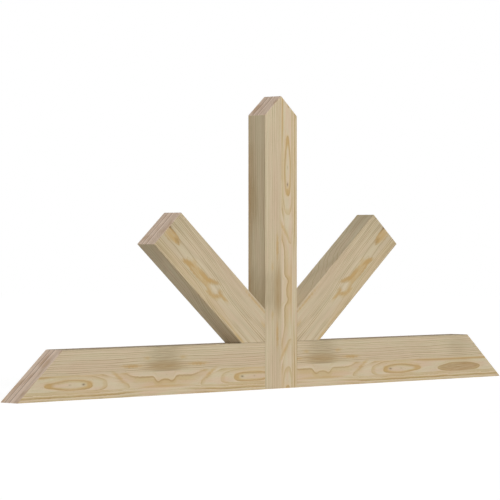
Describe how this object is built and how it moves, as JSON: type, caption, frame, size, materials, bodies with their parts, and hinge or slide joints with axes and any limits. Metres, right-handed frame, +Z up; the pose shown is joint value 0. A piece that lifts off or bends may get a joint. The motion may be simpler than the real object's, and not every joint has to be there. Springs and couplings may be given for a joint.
{
  "type": "timber gable bracket",
  "caption": "Planed softwood gable bracket: pointed king post, bottom chords with feathered tips and raking braces, all cut to one roof slope.",
  "frame": {"origin": "under the ridge, halfway through the timber, on the level that the chords stand on", "axes": "+X along the chords to the right as seen from the front, +Y from the front face to the back face, +Z up towards the ridge"},
  "size_m": [1.524, 0.0508, 0.635],
  "materials": {
    "fir_post": "planed, unfinished",
    "fir_chord": "planed, unfinished",
    "fir_brace": "planed, unfinished"
  },
  "bodies": {
    "root": {"king_post": "fir_post", "left_chord": "fir_chord", "right_chord": "fir_chord", "left_brace": "fir_brace", "right_brace": "fir_brace"}
  },
  "joints": []
}
